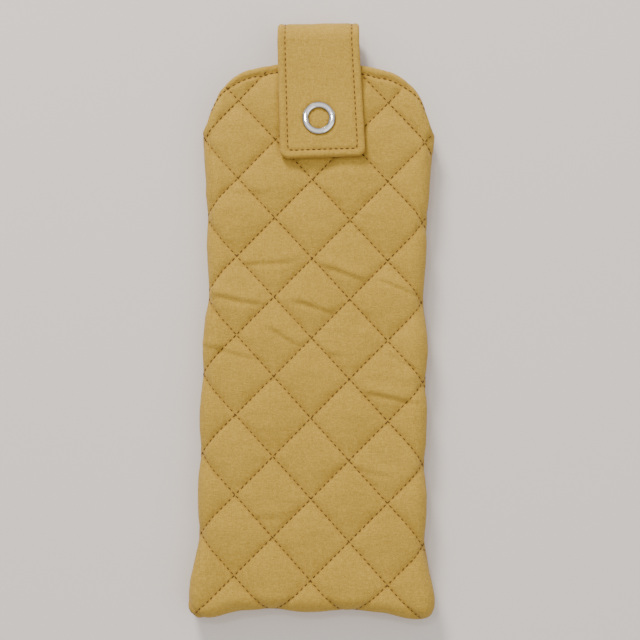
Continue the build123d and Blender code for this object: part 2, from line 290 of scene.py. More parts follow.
def nearest(points, line):
    """(distance to the left of a line, the line's leftward direction at its nearest place)."""
    start, along = line[:-1], np.diff(line, axis=0)
    length2 = (along**2).sum(1)
    left = unit(np.stack([-along[:, 1], along[:, 0]], 1))
    corner = np.concatenate([left[:1], unit(left[1:] + left[:-1]), left[-1:]])
    far, normal = np.empty(len(points)), np.empty((len(points), 2))
    for k in range(0, len(points), 3000):
        p = points[k : k + 3000]
        away = p[:, None] - start[None]
        t = np.clip((away * along).sum(-1) / length2, 0, 1)
        gap = away - t[..., None] * along
        best = (gap**2).sum(-1).argmin(1)
        rows = np.arange(len(p))
        side = np.sign((gap[rows, best] * left[best]).sum(-1))
        far[k : k + 3000] = side * np.linalg.norm(gap[rows, best], axis=1)
        share = t[rows, best][:, None]
        normal[k : k + 3000] = unit(corner[best] * (1 - share) + corner[best + 1] * share)
    return far, normal


SEAM_LINE = seam_line()
MOUTH_LINE = mouth_line()
TOP_LINE = topstitch_line()
HEIGHT = TOP_Z - SEAM_Z


def edge_lengths():
    """(angles round a shell's rounded edge, the length of cloth from the seam to each)."""
    turns = np.linspace(0, pi / 2, 200)
    speed = np.hypot(EDGE_ACROSS * np.sin(turns), HEIGHT * np.cos(turns))
    steps = (speed[1:] + speed[:-1]) / 2 * np.diff(turns)
    return turns, np.concatenate([[0], np.cumsum(steps)])


EDGE_TURNS, EDGE_RUN = edge_lengths()
EDGE_LENGTH = EDGE_RUN[-1]
WRAP = 0.7  # the cloth is eased in round its edges


class Fields:
    """What the shells' shapes are worked out from, at points in plan."""

    def __init__(self, points):
        self.xy = points
        self.deep, inward = nearest(points, SEAM_LINE)
        self.out = -inward
        self.mouth = np.abs(nearest(points, MOUTH_LINE)[0])
        self.topstitch = np.abs(nearest(points, TOP_LINE)[0])
        share = np.clip(self.deep / EDGE_ACROSS, 0, 1)
        self.turn = np.arccos(1 - share)
        rounded = np.interp(self.turn, EDGE_TURNS, EDGE_RUN)
        self.from_seam = np.where(share < 1, rounded, EDGE_LENGTH + self.deep - EDGE_ACROSS)
        self.extra = WRAP * ((EDGE_LENGTH - EDGE_ACROSS) - (self.from_seam - self.deep))
        self.cloth = points + self.out * self.extra[:, None]

    def base(self):
        """(point, outward normal) of the plain rounded shell over the seam's height."""
        up = HEIGHT * np.sin(self.turn)
        crown = 0.3 * (1 - (self.xy[:, 0] / 39) ** 2) - 0.15
        up = up + crown * smoothstep(self.deep / 12)
        across = HEIGHT * np.cos(self.turn)
        normal = np.column_stack([self.out * across[:, None], EDGE_ACROSS * np.sin(self.turn)])
        return np.column_stack([self.xy, up]), unit(normal)


def between(cloth, lines):
    """(-1 to 1 across the strip between two lines, distance to the nearer line) of points on the cloth."""
    (first, first_slope), (last, last_slope) = lines[0], lines[-1]
    before = [(first - k * QUILT_BEYOND, first_slope) for k in (2, 1)]
    beyond = [(last + k * QUILT_BEYOND, last_slope) for k in (1, 2)]
    rows = before + lines + beyond
    at, slope = np.array(rows).T
    above = cloth[:, 1][:, None] - slope * cloth[:, 0][:, None] - at
    low = np.clip((above >= 0).sum(1) - 1, 0, len(rows) - 2)
    k = np.arange(len(cloth))
    under, over = above[k, low], -above[k, low + 1]
    across = np.clip(2 * under / np.maximum(under + over, 1e-6) - 1, -1, 1)
    lean = np.hypot(1, slope[low])
    return across, np.abs(np.minimum(under, over)) / lean


def creases(x, y):
    """Soft folds across the cloth, steeper on their lower side."""
    total = np.zeros_like(x)
    for cx, cy, reach, tall, turn in CREASES:
        c, s = cos(radians(turn)), sin(radians(turn))
        along = (x - cx) * c + (y - cy) * s
        over = -(x - cx) * s + (y - cy) * c + 0.5 * np.sin(along / reach * 2.2)
        side = np.where(over > 0, 2.3, 0.85)
        ends = np.exp(-((along / reach) ** 4))
        ridge = np.exp(-((over / side) ** 2))
        hollow = 0.6 * np.exp(-((over + 1.5) ** 2))
        total += 1.35 * tall * ends * (ridge - hollow)
    return total


def under_snap_and_tab(xy, z):
    """The front's heights, dipped round its stud and held down under the tab."""
    away = np.hypot(xy[:, 0] - SNAP[0], xy[:, 1] - SNAP[1])
    sunk = smoothstep((DIMPLE_R - away) / DIMPLE_EASE)
    floor = STUD_LOW[2] + DIMPLE_ABOVE_STUD + DIMPLE_SLOPE * away
    z = z * (1 - sunk) + np.minimum(z, floor) * sunk
    beside = smoothstep((TAB_W / 2 + 1 - np.abs(xy[:, 0])) / 3)
    below = smoothstep((xy[:, 1] - TAB_END_Y + 2) / 4)
    return z - beside * below * np.maximum(z - (TAB_TOP - TAB_T - TAB_CLEARANCE), 0)


def on_table(z):
    """The back's heights, flattened where it rests on the table."""
    lowest = TABLE_GAP + TABLE_REACH
    return TABLE_GAP + TABLE_SOFTNESS * np.logaddexp(0, (z - lowest) / TABLE_SOFTNESS)


class Shell:
    """One quilted shell. side is 1 for the front, above the seam, and -1 for the back."""

    def __init__(self, side):
        self.side = side
        self.seam_z = SEAM_Z - SEAM_LAP * side
        self.seed = 3 if side > 0 else 8

    def quilting(self, f):
        """(how full the cloth is between lines, distance to the nearest line)."""
        cloth = f.cloth * np.array([self.side, 1])
        full, near = 1, np.inf
        for lines in (RISING, FALLING):
            across, distance = between(cloth, lines)
            across = 1 + FOLD_SOFTNESS - np.hypot(1 - np.abs(across), FOLD_SOFTNESS)
            full = full * (1 - np.clip(across, 0, 1) ** ROUNDNESS)
            near = np.minimum(near, distance)
        return full**FULLNESS, near

    def swell(self, f):
        """(offset of the outer skin along its normal, how darkly the cloth is tinted: painted shade in the
        grooves by its lines, and wear along the seam).
        """
        x, y = f.cloth.T
        full, near = self.quilting(f)
        full = full * (1 + 0.10 * ripple(x, y, self.seed, 24))
        at_seam = 1 - np.exp(-((f.from_seam / 2.0) ** 1.3))
        rim = smoothstep((4.2 - f.mouth) / 1.4)
        full = full * (1 - rim) + (0.42 + 0.22 * full) * rim
        full = full * (1 - 0.85 * np.exp(-((f.topstitch / 0.8) ** 2)))
        height = -SINK + SWELL * full * at_seam
        thread = np.minimum(near, f.topstitch)
        height += np.exp(-thread / 1.9) * PUCKER * ripple(x, y, self.seed + 1, 3.0, 20) * at_seam
        height += RUMPLE * ripple(x, y, self.seed + 2, 7.5, 20) * at_seam
        height += DRAG * ripple(x * 0.42, y * 1.5, self.seed + 4, 7.0, 24) * at_seam * full
        height += SAG * ripple(x, y, self.seed + 3, 55) * at_seam
        height += EASE * np.exp(-((f.from_seam / 6.5) ** 2))
        if self.side > 0:
            height += creases(x, y)
        # Painted shade: the cloth is tinted darker in the sunk grooves by the stitching; the tint along the
        # seam is wear.
        shade_and_wear = np.exp(-thread / 0.4) * 0.6 + np.exp(-f.from_seam / 1.2) * 0.5
        return height, np.clip(shade_and_wear, 0, 1)

    def place(self, f, offset):
        """Points offset from the plain shell along its normal, and those normals."""
        point, normal = f.base()
        point = point + normal * offset[:, None]
        flip = np.array([1, 1, self.side])
        return point * flip + np.array([0, 0, self.seam_z]), normal * flip

    def outer(self, f):
        """(points of the outer skin, normals, painted groove shade and seam wear)."""
        height, shade_and_wear = self.swell(f)
        point, normal = self.place(f, height)
        z = point[:, 2]
        point[:, 2] = under_snap_and_tab(f.xy, z) if self.side > 0 else on_table(z)
        return point, normal, shade_and_wear

    def inner(self, f):
        """(points of the padding's inner face, normals)."""
        full, _ = self.quilting(f)
        at_seam = smoothstep(f.from_seam / 5)
        return self.place(f, -PAD - 0.25 * full * at_seam + 0.1)


# ---------------------------------------------------------------- meshes


def add_object(name, data):
    """A new object in the scene."""
    thing = bpy.data.objects.new(name, data)
    bpy.context.scene.collection.objects.link(thing)
    return thing


def new_piece(name, points, faces, material, cloth=None, shade_and_wear=None, sharp=None):
    """A mesh piece from points in millimetres, with its faces turned outwards."""
    mesh = bpy.data.meshes.new(name)
    mesh.from_pydata((np.asarray(points) * MM).tolist(), [], [list(f) for f in faces])
    if cloth is not None:
        flat = np.zeros((len(points), 3), np.float32)
        flat[:, : cloth.shape[1]] = cloth
        mesh.attributes.new("cloth", "FLOAT_VECTOR", "POINT").data.foreach_set("vector", flat.ravel())
    # A per-point tint that the cotton reads: painted shade and shadow, and wear.
    if shade_and_wear is not None:
        mesh.attributes.new("shade_and_wear", "FLOAT", "POINT").data.foreach_set("value", shade_and_wear.astype(np.float32))
    form = bmesh.new()
    form.from_mesh(mesh)
    bmesh.ops.recalc_face_normals(form, faces=form.faces)
    form.to_mesh(mesh)
    form.free()
    mesh.shade_smooth()
    if sharp is not None:
        mesh.set_sharp_from_angle(angle=radians(sharp))
    mesh.materials.append(material)
    return add_object(name, mesh)


def shell_grid(step, low_x, high_x):
    """Points in plan over a shell, finer where it rounds over, as rows from the bottom to the mouth."""
    turns = np.linspace(0, pi / 2, max(int(9.5 / step), 8))
    edge = EDGE_ACROSS * (1 - np.cos(turns))
    wide = 39.0
    middle = np.linspace(0, wide - EDGE_ACROSS, int((wide - EDGE_ACROSS) / step) + 1)[:-1]
    half = np.concatenate([middle, (wide - edge)[::-1]]) / wide
    across = np.concatenate([-half[:0:-1], half])
    across = across[(across >= low_x - 1e-9) & (across <= high_x + 1e-9)]
    tall = 190.0
    rest = np.linspace(EDGE_ACROSS, tall, int((tall - EDGE_ACROSS) / step))[1:]
    up = np.concatenate([edge, rest]) / tall
    low = bottom_edge(across * half_width_beside(across, EAR_Y))
    high = mouth_edge(across * half_width_beside(across, 70.0), ROLL)
    y = low[None] + up[:, None] * (high - low)[None]
    x = across[None] * half_width_beside(across[None], np.maximum(y, EAR_Y))
    return np.stack([x, y], -1)


def grid_faces(rows, columns, ring_of_rows=False, ring_of_columns=False):
    """The faces of a grid, whose rows or columns can join up in a ring."""
    k, c = np.arange(rows - 1 + ring_of_rows)[:, None], np.arange(columns - 1 + ring_of_columns)[None]
    low, high, right = k * columns, (k + 1) % rows * columns, (c + 1) % columns
    return np.stack([low + c, low + right, high + right, high + c], -1).reshape(-1, 4)


def end_faces(rows, columns, total):
    """Faces that close both ends of a folded grid: between its layers, and across its rim if it has one."""
    faces = []
    for column in (0, columns - 1):
        for row in range(rows - 1):
            there, back = row * columns + column, (total - 1 - row) * columns + column
            faces.append([there, there + columns, back - columns, back])
        rim = range(rows - 1, total - rows + 1)
        if len(rim) > 2:
            faces.append([row * columns + column for row in rim])
    return faces


def padded_panel(name, shell, step, low_x, high_x, material):
    """A closed padded panel: quilted outside, rolled at the mouth and lined up with its lining."""
    plan = shell_grid(step, low_x, high_x)
    rows, columns = plan.shape[:2]
    f = Fields(plan.reshape(-1, 2))
    outer, _, shade_and_wear = shell.outer(f)
    inner, _ = shell.inner(f)
    outer, inner = outer.reshape(rows, columns, 3), inner.reshape(rows, columns, 3)
    shade_and_wear, cloth = shade_and_wear.reshape(rows, columns), f.cloth.reshape(rows, columns, 2)
    top, below, last = outer[-1], outer[-2], inner[-1]
    normal = unit(top - last)
    sideways = unit(np.gradient(top, axis=0))
    ahead = unit(np.cross(sideways, normal))
    ahead *= np.sign((ahead * (top - below)).sum(-1, keepdims=True))
    radius = np.linalg.norm(top - last, axis=-1, keepdims=True) / 2
    centre = (top + last) / 2
    turns = np.linspace(0, pi, 11)[1:-1]
    rim = np.stack([centre + radius * (cos(t) * normal + sin(t) * 0.95 * ahead) for t in turns])
    loop = np.concatenate([outer, rim, inner[::-1]])
    rim_cloth = np.stack([cloth[-1] + np.array([0, 1.4 * t]) for t in turns])
    loop_cloth = np.concatenate([cloth, rim_cloth, cloth[::-1] + np.array([0, 4.0])])
    # The rolled mouth edge takes half the top row's painted shade and wear; the inner face takes none.
    rim_shade_and_wear = np.stack([shade_and_wear[-1] * 0.5] * len(turns))
    loop_shade_and_wear = np.concatenate([shade_and_wear, rim_shade_and_wear, shade_and_wear[::-1] * 0])
    faces = grid_faces(len(loop), columns, ring_of_rows=True).tolist()
    faces += end_faces(rows, columns, len(loop))
    points, flat = loop.reshape(-1, 3), loop_cloth.reshape(-1, 2)
    return new_piece(name, points, faces, material, flat, loop_shade_and_wear.ravel(), 55)


def lining_sheet(name, shell, step, low_x, high_x, material):
    """A thin closed sheet against a panel's inner face, a little loose."""
    plan = shell_grid(step, low_x, high_x)[:-1]
    rows, columns = plan.shape[:2]
    f = Fields(plan.reshape(-1, 2))
    point, normal = shell.inner(f)
    x, y = f.cloth.T
    loose = 0.10 * (1 + ripple(x, y, shell.seed + 5, 17))
    loose = loose * smoothstep(f.from_seam / 6) * smoothstep(f.mouth / 8)
    close = point - normal * (0.03 + 0.35 * loose)[:, None]
    thick = point - normal * (0.36 + loose)[:, None]
    close, thick = close.reshape(rows, columns, 3), thick.reshape(rows, columns, 3)
    loop = np.concatenate([close, thick[::-1]])
    cloth = np.concatenate([f.cloth.reshape(rows, columns, 2)] * 2)
    faces = grid_faces(len(loop), columns, ring_of_rows=True).tolist()
    faces += end_faces(rows, columns, len(loop))
    points, flat = loop.reshape(-1, 3), cloth.reshape(-1, 2)
    return new_piece(name, points, faces, material, flat, np.zeros(len(points)), 50)


def stitch_rods(starts, ends, normals, lift):
    """(points, faces) of stitches: short threads that rise out of the cloth and go back into it."""
    share, rise, girth = np.array(STITCH_PROFILE).T
    ring = np.arange(THREAD_SIDES) * 2 * pi / THREAD_SIDES
    along = unit(ends - starts)
    normal = unit(normals - (normals * along).sum(-1, keepdims=True) * along)
    across = np.cross(along, normal)
    heights = np.where(rise > 0, rise * lift, rise * THREAD_SINK)
    line = starts[:, None] + share[None, :, None] * (ends - starts)[:, None]
    line = line + heights[None, :, None] * normal[:, None]
    round_it = np.cos(ring)[:, None, None] * across[None]
    round_it = round_it + 0.85 * np.sin(ring)[:, None, None] * normal[None]
    thickness = THREAD_R * girth[None, :, None, None]
    points = line[:, :, None] + thickness * round_it.transpose(1, 0, 2)[:, None]
    last = (len(share) - 1) * THREAD_SIDES
    quads = grid_faces(len(share), THREAD_SIDES, ring_of_columns=True)
    faces = []
    for k in range(len(starts)):
        first = k * (last + THREAD_SIDES)
        faces += (quads + first).tolist()
        faces.append((np.arange(THREAD_SIDES)[::-1] + first).tolist())
        faces.append((np.arange(THREAD_SIDES) + last + first).tolist())
    return points.reshape(-1, 3), faces


def plan_of(cloth):
    """The points in plan that lie under points given on the flat cloth."""
    plan = cloth.copy()
    for _ in range(28):
        f = Fields(plan)
        plan += 0.35 * (cloth - f.cloth)
    return plan


def line_stitches(rng, at, slope):
    """(starts, ends) on the flat cloth of one quilting line's stitches, each a little uneven."""
    run = np.array([1, slope]) / np.hypot(1, slope)
    side = np.array([-run[1], run[0]])
    lean = 0.07
    places = np.arange(-160, 160, STITCH) + rng.uniform(0, STITCH)
    places = places + rng.normal(0, 0.05, len(places))
    drift = 0.10 * np.sin(places / 23 + rng.uniform(0, 6))
    start = np.array([0, at]) + places[:, None] * run + drift[:, None] * side
    length = STITCH * STITCH_SHARE * (1 + rng.normal(0, 0.05, len(places)))
    return start - side * lean, start + length[:, None] * run + side * lean


def both_ends(keep):
    """Which stitches to keep, from one flag for each of their starts and then of their ends."""
    starts, ends = np.split(keep, 2)
    return np.tile(starts & ends, 2)


def quilting_stitches(shell):
    """(starts, ends, normals) of every quilting stitch on a shell."""
    rng = np.random.default_rng(shell.seed + 20)
    pairs = [line_stitches(rng, at, slope) for lines in (RISING, FALLING) for at, slope in lines]
    starts, ends = zip(*pairs)
    flat = np.concatenate(starts + ends) * np.array([shell.side, 1])
    near_case = (np.abs(flat[:, 0]) < 47) & (flat[:, 1] > -108) & (flat[:, 1] < 92)
    flat = flat[both_ends(near_case)]
    plan = plan_of(flat)
    f = Fields(plan)
    good = np.linalg.norm(f.cloth - flat, axis=1) < 0.12
    good &= (f.deep > 0.1) & (f.from_seam > SEAM_CLEAR)
    good &= (f.mouth > MOUTH_CLEAR) & (plan[:, 1] < mouth_edge(plan[:, 0], ROLL) - 0.2)
    good &= f.topstitch > TOPSTITCH_CLEAR
    if shell.side > 0:
        good &= np.hypot(plan[:, 0] - SNAP[0], plan[:, 1] - SNAP[1]) > SNAP_CLEAR
    return ends_of(shell, plan[both_ends(good)])


def ends_of(shell, plan):
    """(starts, ends, normals) in space of stitches given by their ends in plan."""
    point, normal, _ = shell.outer(Fields(plan))
    count = len(plan) // 2
    return point[:count], point[count:], normal[:count] + normal[count:]


def along_line(line, first, pitch, length, spare):
    """The starts and then the ends of stitches spaced along a line, which stop short of its end."""
    gone = np.concatenate([[0], np.cumsum(np.linalg.norm(np.diff(line, axis=0), axis=1))])
    starts = np.arange(first, gone[-1] - spare, pitch)
    at = np.concatenate([starts, starts + length])
    return np.stack([np.interp(at, gone, line[:, 0]), np.interp(at, gone, line[:, 1])], 1)


def mouth_stitches(shell):
    """(starts, ends, normals) of the topstitching along the mouth."""
    plan = along_line(TOP_LINE, 0.4, STITCH, STITCH * STITCH_SHARE, STITCH)
    f = Fields(plan)
    return ends_of(shell, plan[both_ends((f.deep > 0.1) & (f.from_seam > 1.2))])


def thread_piece(name, stitches, material, lift=0.15):
    """A piece of separate stitches."""
    points, faces = stitch_rods(*stitches, lift)
    return new_piece(name, points, faces, material, sharp=60)


def half_of(stitches, right):
    """The stitches of one half of the case."""
    middle = (stitches[0][:, 0] + stitches[1][:, 0]) / 2
    keep = middle >= 0 if right else middle < 0
    return tuple(part[keep] for part in stitches)


def seam_stitches():
    """(starts, ends, normals) of the stitching inside the seam that joins the shells."""
    sewn = SEAM_LINE[SEAM_LINE[:, 1] < 66]
    plan = along_line(sewn, 0.5, STITCH * 1.1, 1.6, STITCH)
    inward = -Fields(plan).out
    plan = plan + inward * 1.9
    point = np.column_stack([plan, np.full(len(plan), SEAM_Z)])
    count = len(point) // 2
    return point[:count], point[count:], np.column_stack([-inward[:count], np.zeros(count)])


# ---------------------------------------------------------------- tab

TAB_CORNER = 3.0
TAB_LEAN = 2.25  # how far its end hangs to the right of its fold
TAB_SHIFT = -0.6
TAB_NARROW = 0.985  # its width at the fold, as a share
TAB_SPREAD = 0.039  # and what it gains by its end
TAB_SKEW = 0.037  # how much lower its end is on the left, per millimetre across
TAB_STITCH_IN = 2.7
TAB_STITCH = 1.9
TAB_STITCH_SHARE = 0.68
TAB_EDGE = 1.4  # how far in its edges' finer points reach
PRONGS = 5
PRONG_R = 3.2
NOT_ON_FLAP = 99  # stands for a distance from the snap on the rest of the tab
LOOP_R = (TAB_TOP - TAB_LOW_Z - TAB_T) / 2  # of the middle of its thickness
LOOP_Y = TAB_LOOP_Y - LOOP_R - TAB_T / 2
LOOP_Z = TAB_LOW_Z + TAB_T / 2 + LOOP_R
TAIL = LOOP_Y - TAB_TAIL_Y
FLAP = LOOP_Y - TAB_END_Y
TAB_LENGTH = TAIL + pi * LOOP_R + FLAP


def tab_path(run):
    """(y, z, normal's y, normal's z) of the middle of the tab's thickness, from its tail to its end."""
    turn = np.clip((run - TAIL) / LOOP_R, 0, pi)
    before, after = np.maximum(TAIL - run, 0), np.maximum(run - TAIL - pi * LOOP_R, 0)
    y = LOOP_Y + LOOP_R * np.sin(turn) - before - after
    z = LOOP_Z - LOOP_R * np.cos(turn)
    return y, z, np.sin(turn), -np.cos(turn)


def tab_half_width(run):
    """Half the tab's width, rounded off at its end."""
    left = np.clip(TAB_LENGTH - run, 0, TAB_CORNER)
    return TAB_W / 2 - TAB_CORNER + np.sqrt(np.maximum(TAB_CORNER**2 - (TAB_CORNER - left) ** 2, 0))


def tab_edge(run, x):
    """How far in from the tab's cut edge a place lies."""
    side = TAB_W / 2 - np.abs(x)
    end = TAB_LENGTH - run
    from_side, from_end = np.maximum(TAB_CORNER - side, 0), np.maximum(TAB_CORNER - end, 0)
    in_corner = (side < TAB_CORNER) & (end < TAB_CORNER)
    return np.where(in_corner, TAB_CORNER - np.hypot(from_side, from_end), np.minimum(side, end))


def tab_sway(x, down):
    """Where a place across the tab ends up along X, a share of the way down the flap."""
    return x * (TAB_NARROW + TAB_SPREAD * down) + TAB_SHIFT + TAB_LEAN * down


def tab_over_snap(x, y):
    """How far a place on the closed flap lies from the snap, across and along."""
    down = np.clip((LOOP_Y - y) / FLAP, 0, 1)
    return tab_sway(x, down) - SNAP[0], y + x * TAB_SKEW * down - SNAP[1]


def prong_pits(x, y):
    """1 where a prong of the ring goes into the cloth, falling to 0 beside it."""
    total = 0
    for turn in 2 * pi * (np.arange(PRONGS) + 0.5) / PRONGS:
        away2 = (x - PRONG_R * sin(turn)) ** 2 + (y - PRONG_R * cos(turn)) ** 2
        total = total + np.exp(-(away2 / 0.35**2))
    return total


def tab_point(run, x, face):
    """A point on the tab's outer face (1) or its inner face (-1), with the normal there."""
    y, z, ny, nz = tab_path(run)
    inset = np.maximum(tab_edge(run, x), 0)
    rolled = np.sqrt(np.clip(1 - (1 - np.clip(inset / 1.15, 0, 1)) ** 2, 0, 1))
    groove = 1 - 0.30 * hump(inset, TAB_STITCH_IN, 0.55)
    edge_puff = 1 + 0.05 * hump(inset, 1.3, 0.8)
    half = TAB_T / 2 * rolled * groove * edge_puff
    half = half + 0.03 * ripple(x, run, 31, 5.0) * rolled + 0.05 * ripple(x, run, 32, 16.0) * rolled
    if face > 0:
        over_x, over_y = tab_over_snap(x, y)
        away = np.hypot(over_x, over_y) + np.where(run < TAIL + pi * LOOP_R, NOT_ON_FLAP, 0)
        half = half - 0.16 * hump(away, 4.6, 1.5) + 0.12 * hump(away, 7.2, 1.3)
        half = half + 0.16 * smoothstep((3.3 - away) / 2.3)
        half = half - 0.3 * prong_pits(over_x, over_y) * (away < 20)
    down = np.clip((run - TAIL - pi * LOOP_R) / FLAP, 0, 1)
    askew = x * (0.013 * smoothstep((run - TAIL) / 8) + TAB_SKEW * down)
    wave = 0.35 * smoothstep((x + 3) / 5) * smoothstep((y - MOUTH_Y - 4) / 8)
    y = y + askew + wave + face * half * ny
    point = np.stack([tab_sway(x, down), y, z + face * half * nz], -1)
    return point, np.stack([np.zeros_like(ny), face * ny, face * nz], -1)


def tab_grid():
    """(places along, places across) of a grid over the tab, finer at its end and its edges."""
    step = 0.42
    ends = TAB_CORNER * (1 - np.cos(np.linspace(0, pi / 2, 16)))
    plain = np.linspace(0, TAB_LENGTH - TAB_CORNER, int(TAB_LENGTH / step))
    run = np.concatenate([plain, TAB_LENGTH - ends[::-1][1:]])
    edge = TAB_EDGE * (1 - np.cos(np.linspace(0, pi / 2, 9)))
    plain = np.linspace(0, TAB_W / 2 - TAB_EDGE, int(TAB_W / 2 / step))[:-1]
    half = np.concatenate([plain, (TAB_W / 2 - edge)[::-1]])
    share = np.concatenate([-half[:0:-1], half]) / (TAB_W / 2)
    run = np.repeat(run[:, None], len(share), 1)
    return run, share[None] * tab_half_width(run)


def tab_shade_and_wear(run, x):
    """(the outer face's tint, the inner face's): painted shade in the groove of the stitching, wear at the
    cut edge, and on the outer face painted shadow round the ring and in its prong pits.
    """
    inset = tab_edge(run, x)
    y, _, _, nz = tab_path(run)
    over_x, over_y = tab_over_snap(x, y)
    away = np.hypot(over_x, over_y) + np.where(nz < 0.9, NOT_ON_FLAP, 0)
    inner = np.exp(-np.abs(inset - TAB_STITCH_IN) / 0.4) * 0.5 + np.exp(-inset / 0.35) * 0.25
    # Painted shadow in thin bands along the ring's outer and inner edges.
    outer = inner + 0.35 * hump(away, 5.9, 0.35) + 0.35 * hump(away, 3.4, 0.35)
    # Painted shade in the pits where the ring's prongs go in.
    return outer + 1.2 * prong_pits(over_x, over_y) * (away < 20), inner


def round_tab(outer, inner):
    """Values for a grid's two faces, joined into rings round the tab."""
    return np.concatenate([outer, inner[:, 1:-1][:, ::-1]], axis=1)


def tab_faces(rows, width, columns):
    """Faces of rings round the tab, with both ends closed."""
    faces = grid_faces(rows, width, ring_of_columns=True).tolist()
    for base in (0, (rows - 1) * width):
        for c in range(1, columns - 2):
            faces.append([base + c, base + c + 1, base + width - c - 1, base + width - c])
        faces.append([base, base + 1, base + width - 1])
        faces.append([base + columns - 2, base + columns - 1, base + columns])
    return faces


def tab_piece(material):
    """The tab: two cloths and interfacing, rolled at its edges, looped from the back to the front."""
    run, x = tab_grid()
    rows, columns = run.shape
    ring = round_tab(tab_point(run, x, 1)[0], tab_point(run, x, -1)[0])
    flat = np.stack([x, run], -1)
    cloth = round_tab(flat, flat + 40)
    # The tab's painted shade and wear, as a per-point tint.
    shade_and_wear = np.clip(round_tab(*tab_shade_and_wear(run, x)), 0, 1)
    faces = tab_faces(rows, ring.shape[1], columns)
    points, flat = ring.reshape(-1, 3), cloth.reshape(-1, 2)
    piece = new_piece("tab_cloth", points, faces, material, flat, shade_and_wear.ravel(), 70)
    form = bmesh.new()
    form.from_mesh(piece.data)
    bmesh.ops.remove_doubles(form, verts=form.verts, dist=0.004 * MM)
    bmesh.ops.dissolve_degenerate(form, dist=0.002 * MM, edges=form.edges)
    bmesh.ops.recalc_face_normals(form, faces=form.faces)
    form.to_mesh(piece.data)
    form.free()
    return piece


def tab_stitches(face):
    """(starts, ends, normals) of the tab's topstitching on one face."""
    inset = TAB_STITCH_IN
    r = max(TAB_CORNER - inset, 0.3) + 0.9
    side = TAB_W / 2 - inset
    end = TAB_LENGTH - inset
    turn = np.linspace(0, pi / 2, 12)
    up = [(run, side) for run in np.linspace(TAIL - 6, end - r, 160)]
    up += [(end - r + r * sin(t), side - r + r * cos(t)) for t in turn[1:]]
    line = np.array(up + [(run, -x) for run, x in up[::-1]])
    places = along_line(line, 0.2, TAB_STITCH, TAB_STITCH * TAB_STITCH_SHARE, TAB_STITCH)
    point, normal = tab_point(places[:, 0], places[:, 1], face)
    count = len(point) // 2
    return point[:count], point[count:], normal[:count] + normal[count:]


# ---------------------------------------------------------------- materials


WEAVE_DEPTH = 0.00009  # in metres


class Nodes:
    """A short way to write a material's nodes."""

    def __init__(self, name):
        self.material = bpy.data.materials.new(name)
        self.material.use_nodes = True
        self.tree = self.material.node_tree
        self.shader = self.tree.nodes["Principled BSDF"]

    def put(self, kind, **settings):
        node = self.tree.nodes.new(kind)
        for key, value in settings.items():
            setattr(node, key, value)
        return node

    def wire(self, source, target):
        self.tree.links.new(source, target)

    def math(self, operation, a, b=None):
        node = self.put("ShaderNodeMath", operation=operation)
        for k, value in enumerate((a, b)):
            if value is None:
                continue
            if isinstance(value, (int, float)):
                node.inputs[k].default_value = value
            else:
                self.wire(value, node.inputs[k])
        return node.outputs[0]

    def total(self, *terms):
        """The sum of (value, weight) pairs."""
        parts = [self.math("MULTIPLY", value, weight) for value, weight in terms]
        result = parts[0]
        for part in parts[1:]:
            result = self.math("ADD", result, part)
        return result

    def noise(self, vector, scale, detail=3.0, roughness=0.55):
        node = self.put("ShaderNodeTexNoise")
        node.inputs["Scale"].default_value = scale
        node.inputs["Detail"].default_value = detail
        node.inputs["Roughness"].default_value = roughness
        self.wire(vector, node.inputs["Vector"])
        return node.outputs["Fac"]

    def stretch(self, vector, x, y, z=1.0):
        node = self.put("ShaderNodeVectorMath", operation="MULTIPLY")
        self.wire(vector, node.inputs[0])
        node.inputs[1].default_value = (x, y, z)
        return node.outputs[0]

    def mix(self, share, a, b):
        node = self.put("ShaderNodeMix", data_type="RGBA")
        for socket, value in ((0, share), (6, a), (7, b)):
            if isinstance(value, (int, float, tuple)):
                node.inputs[socket].default_value = value
            else:
                self.wire(value, node.inputs[socket])
        return node.outputs[2]

    def bump(self, height, distance):
        node = self.put("ShaderNodeBump")
        node.inputs["Strength"].default_value = 1.0
        node.inputs["Distance"].default_value = distance
        self.wire(height, node.inputs["Height"])
        self.wire(node.outputs["Normal"], self.shader.inputs["Normal"])

    def settle(self, **values):
        for key, value in values.items():
            self.shader.inputs[key.replace("_", " ")].default_value = value


def plain_weave(n, flat, pitch):
    """The height of crossing threads, each over and under the next."""
    split = n.put("ShaderNodeSeparateXYZ")
    n.wire(n.stretch(flat, pi / pitch, pi / pitch), split.inputs[0])
    warp, weft = n.math("SINE", split.outputs[0]), n.math("SINE", split.outputs[1])
    turn = n.math("MULTIPLY", n.math("MULTIPLY", warp, weft), 0.5)
    warps = n.math("MULTIPLY", n.math("ABSOLUTE", warp), n.math("ADD", turn, 0.5))
    wefts = n.math("MULTIPLY", n.math("ABSOLUTE", weft), n.math("SUBTRACT", 0.5, turn))
    return n.math("ADD", warps, wefts)


